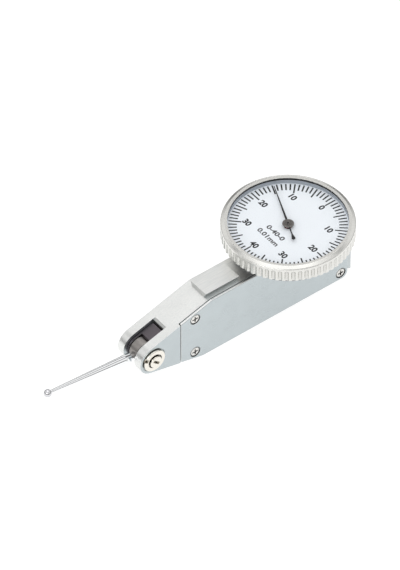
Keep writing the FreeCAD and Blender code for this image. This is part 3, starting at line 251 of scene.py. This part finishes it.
def make_materials():
    """One material for each material slot that the record names."""
    return {
        # the amounts that darken corners paint shade into grooves and recesses
        "satin_body": metal("satin_body", (0.84, 0.84, 0.82), 0.34, ALONG_X, 7000.0, 0.06,
                            side=SIDE_SHADE_TONE, painted_shade=0.15),
        "satin_cover": metal("satin_cover", (0.84, 0.84, 0.83), 0.30, ALONG_X, 9000.0, 0.04,
                             side=SIDE_SHADE_TONE, painted_shade=0.3),
        "satin_bezel": metal("satin_bezel", (0.73, 0.725, 0.695), 0.24, EVEN, 9000.0, 0.02, 0.015,
                             painted_shade=1.0, reach=0.9 * MM),
        "bright_steel": metal("bright_steel", (0.76, 0.75, 0.72), 0.16, EVEN, 9000.0, 0.03, painted_shade=1.0),
        "polished_chrome": metal("polished_chrome", (0.88, 0.89, 0.90), 0.05, ALONG_X, 9000.0, 0.01,
                                 0.01, 0.02),
        "nickel_bronze": metal("nickel_bronze", (0.84, 0.81, 0.74), 0.20, EVEN, 8000.0, 0.04, painted_shade=1.0),
        "gear_brass": metal("gear_brass", (0.80, 0.62, 0.32), 0.24, ALONG_Z, 9000.0, 0.04),
        "dark_steel": metal("dark_steel", (0.125, 0.112, 0.122), 0.34, ALONG_X, 6000.0, 0.08, 0.06),
        "warm_steel": metal("warm_steel", (0.33, 0.31, 0.295), 0.36, ALONG_Z, 5000.0, 0.10, 0.12,
                            painted_shade=0.6),
        "case_metal": metal("case_metal", (0.32, 0.32, 0.33), 0.42, EVEN, 6000.0, 0.05),
        "carbide": metal("carbide", (0.66, 0.66, 0.68), 0.06, EVEN, 9000.0, 0.01, 0.02, 0.02),
        "spring_steel": metal("spring_steel", (0.28, 0.31, 0.45), 0.22, EVEN, 9000.0, 0.03),
        "jewel": coated("jewel", (0.45, 0.02, 0.06), 0.08, coat=0.6),
        "dial_white": coated("dial_white", (0.87, 0.91, 0.95), 0.55, 0.006, 9000.0, 0.03),
        "ring_grey": coated("ring_grey", (0.38, 0.415, 0.46), 0.42, 0.05),
        "pointer_black": coated("pointer_black", (0.003, 0.003, 0.0035), 0.7, 0.15),
        "seal_black": coated("seal_black", (0.03, 0.03, 0.03), 0.6, 0.1),
        "drag_plastic": coated("drag_plastic", (0.78, 0.76, 0.68), 0.5, 0.04),
        "crystal_clear": clear_glass("crystal_clear"),
    }


materials = make_materials()
for part in frame["record"]["subparts"]:
    target = nodes[part["node"]]
    target.data.materials.clear()
    target.data.materials.append(materials[part["material_slot"]])


# ---------------------------------------------------------------- dial print
dial_low, dial_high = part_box("dial_plate")
DIAL_TOP = dial_high[2]
INK = 0.006 * MM
DIVISIONS = 80
LONG_EVERY = 5
TICK_OUTER = 14.1 * MM
TICK_LONG = 11.07 * MM
TICK_SHORT = 12.05 * MM
TICK_WIDTH = 0.36 * MM
NUMBERS = 8
NUMBER_STEP = 10
NUMBER_HEIGHT = 1.7 * MM
NUMBER_WEIGHT = 0.04
REACH_LENGTHWAYS = 10.1 * MM
REACH_ACROSS = 9.45 * MM
REACH_BETWEEN = 9.7 * MM
LINE_HEIGHT = 1.35 * MM
LINE_WEIGHT = 0.03
RANGE_PLACE = -3.7 * MM
RANGE_WIDTH = 6.0 * MM
GRADUATION_PLACE = -6.0 * MM
GRADUATION_WIDTH = 7.1 * MM
CURVE_STEPS = 6
CURVE_DEPTH = 0.01


def print_piece(name, mesh, material):
    """Links a mesh printed on the dial, which turns with the bezel."""
    piece = bpy.data.objects.new(name, mesh)
    bpy.context.scene.collection.objects.link(piece)
    piece.data.materials.clear()
    piece.data.materials.append(material)
    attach(piece, "bezel_group")
    return piece


def prism(corners, low, high):
    """Vertices and faces of an upright prism over an outline that runs anticlockwise."""
    count = len(corners)
    points = [(x, y, low) for x, y in corners] + [(x, y, high) for x, y in corners]
    faces = [tuple(reversed(range(count))), tuple(range(count, 2 * count))]
    faces += [(index, (index + 1) % count, (index + 1) % count + count, index + count)
              for index in range(count)]
    return points, faces


def make_ticks(material):
    """The scale's marks in one mesh, the long ones at every fifth."""
    points, faces = [], []
    for index in range(DIVISIONS):
        angle = 2 * math.pi * index / DIVISIONS
        inner = TICK_LONG if index % LONG_EVERY == 0 else TICK_SHORT
        out = Vector((math.cos(angle), math.sin(angle)))
        side = Vector((-out.y, out.x)) * TICK_WIDTH / 2
        corners = [out * inner - side, out * TICK_OUTER - side,
                   out * TICK_OUTER + side, out * inner + side]
        outline = [tuple(corner) for corner in corners]
        more_points, more_faces = prism(outline, DIAL_TOP, DIAL_TOP + INK)
        base = len(points)
        points += more_points
        faces += [tuple(base + number for number in face) for face in more_faces]
    mesh = bpy.data.meshes.new("dial_ticks")
    mesh.from_pydata(points, [], faces)
    return print_piece("dial_ticks", mesh, material)


def lettering(name, text, centre, height, width, material, weight):
    """Thin raised lettering that reads along -Y with its top towards the rear.

    A width of 0 keeps the letters' own proportions.
    """
    curve = bpy.data.curves.new(name, "FONT")
    curve.body = text
    curve.align_x = "CENTER"
    curve.size = 1.0
    curve.extrude = CURVE_DEPTH
    curve.offset = weight
    curve.resolution_u = CURVE_STEPS
    source = bpy.data.objects.new(name, curve)
    bpy.context.scene.collection.objects.link(source)
    bpy.context.view_layer.update()
    mesh = bpy.data.meshes.new_from_object(source)
    bpy.data.objects.remove(source)
    xs = [vertex.co.x for vertex in mesh.vertices]
    ys = [vertex.co.y for vertex in mesh.vertices]
    up = height / (max(ys) - min(ys))
    across = width / (max(xs) - min(xs)) if width else up
    middle = ((max(xs) + min(xs)) / 2, (max(ys) + min(ys)) / 2)
    for vertex in mesh.vertices:
        along = (vertex.co.x - middle[0]) * across
        rise = (vertex.co.y - middle[1]) * up
        level = DIAL_TOP + INK if vertex.co.z > 0 else DIAL_TOP
        vertex.co = (centre[0] + rise, centre[1] - along, level)
    return print_piece(name, mesh, material)


def make_print():
    """The scale, its numbers and the two lines below the pointer's hub."""
    black = coated("dial_ink", (0.002, 0.002, 0.0025), 0.8, 0.2)
    grey = coated("dial_ink_grey", (0.05, 0.05, 0.052), 0.6, 0.15)
    make_ticks(black)
    reaches = [REACH_LENGTHWAYS, REACH_BETWEEN, REACH_ACROSS, REACH_BETWEEN]
    for mark in range(NUMBERS):
        value = NUMBER_STEP * min(mark, NUMBERS - mark)
        angle = 2 * math.pi * mark / NUMBERS
        reach = reaches[mark % len(reaches)]
        place = (reach * math.cos(angle), reach * math.sin(angle))
        lettering("dial_number_%d" % mark, str(value), place, NUMBER_HEIGHT, 0, black,
                  NUMBER_WEIGHT)
    lettering("dial_range", "0-40-0", (RANGE_PLACE, 0), LINE_HEIGHT, RANGE_WIDTH, grey,
              LINE_WEIGHT)
    lettering("dial_graduation", "0.01mm", (GRADUATION_PLACE, 0), LINE_HEIGHT, GRADUATION_WIDTH, grey,
              LINE_WEIGHT)


make_print()


# ---------------------------------------------------------------- floor, light and camera
FLOOR_TONE = (0.35, 0.35, 0.35)
FLOOR_GLOW = 0.80
FLOOR_SIZE = 6.0
FLOOR_ROUGHNESS = 0.9

# brightness of the studio by height: 0 at the horizon and below it, 1 straight up
SKY_STOPS = [(0.0, 0.05), (0.16, 0.12), (0.30, 0.66), (0.42, 0.98), (0.735, 0.98), (0.75, 0.15),
             (0.80, 0.15), (0.815, 1.0), (1.0, 1.05)]
LIGHT_TARGET = (-0.02, 0.0, 0.012)


def make_floor():
    """A plain table that glows by itself, so that it stays white and shadows stay faint."""
    bpy.ops.mesh.primitive_plane_add(size=FLOOR_SIZE, location=(0, 0, 0))
    floor = bpy.context.object
    floor.name = "floor"
    material, tree, shader = new_material("floor_paper")
    shader.inputs["Base Color"].default_value = (*FLOOR_TONE, 1)
    shader.inputs["Roughness"].default_value = FLOOR_ROUGHNESS
    shader.inputs["Emission Color"].default_value = (1, 1, 1, 1)
    shader.inputs["Emission Strength"].default_value = FLOOR_GLOW
    floor.data.materials.append(material)


def area_light(name, place, target, size, power):
    """A white rectangular light at a place, turned to a target."""
    light = bpy.data.lights.new(name, "AREA")
    light.shape = "RECTANGLE"
    light.size, light.size_y = size
    light.energy = power
    item = bpy.data.objects.new(name, light)
    item.location = place
    direction = Vector(target) - Vector(place)
    item.rotation_euler = direction.to_track_quat("-Z", "Y").to_euler()
    bpy.context.scene.collection.objects.link(item)


def make_light():
    """A pale studio: dark at the horizon, bright above with one dark band, and two soft boxes."""
    world = bpy.data.worlds.new("studio")
    world.use_nodes = True
    tree = world.node_tree
    coordinates = add_node(tree, "TexCoord")
    parts = add_node(tree, "SeparateXYZ", {0: coordinates.outputs["Generated"]})
    sky = add_node(tree, "ValToRGB", {"Fac": parts.outputs["Z"]})
    ramp = sky.color_ramp
    while len(ramp.elements) < len(SKY_STOPS):
        ramp.elements.new(0.5)
    for element, (position, level) in zip(ramp.elements, SKY_STOPS):
        element.position = position
        element.color = (level, level, level, 1)
    background = tree.nodes["Background"]
    tree.links.new(sky.outputs[0], background.inputs[0])
    background.inputs[1].default_value = 1.0
    bpy.context.scene.world = world
    area_light("key", (-0.6, -0.25, 0.45), LIGHT_TARGET, (0.5, 0.4), 0.9)
    area_light("overhead", (0.1, 0.15, 0.8), LIGHT_TARGET, (0.6, 0.6), 0.7)


VIEW_AZIMUTH = math.radians(-37.8)
VIEW_ELEVATION = math.radians(45.15)
VIEW_HEIGHT = 133.93 * MM
VIEW_DISTANCE = 2.0
VIEW_ACROSS = -20.70 * MM
VIEW_UP = -13.86 * MM
SENSOR_WIDTH = 36.0
CLIP_END = 50.0


def make_camera():
    """A long lens far away, aimed beside the dial's centre as the photograph is framed."""
    right = Vector((math.cos(VIEW_AZIMUTH), math.sin(VIEW_AZIMUTH), 0))
    back = Vector((math.sin(VIEW_AZIMUTH) * math.cos(VIEW_ELEVATION),
                   -math.cos(VIEW_AZIMUTH) * math.cos(VIEW_ELEVATION), math.sin(VIEW_ELEVATION)))
    up = back.cross(right)
    target = Vector((0, 0, DIAL_TOP)) + right * VIEW_ACROSS + up * VIEW_UP
    data = bpy.data.cameras.new("camera")
    data.sensor_width = SENSOR_WIDTH
    data.lens = SENSOR_WIDTH * VIEW_DISTANCE / VIEW_HEIGHT
    data.clip_end = CLIP_END
    camera = bpy.data.objects.new("camera", data)
    camera.location = target + back * VIEW_DISTANCE
    camera.rotation_euler = back.to_track_quat("Z", "Y").to_euler()
    bpy.context.scene.collection.objects.link(camera)
    bpy.context.scene.camera = camera


make_floor()
make_light()
make_camera()
bpy.context.scene.view_settings.view_transform = "Standard"
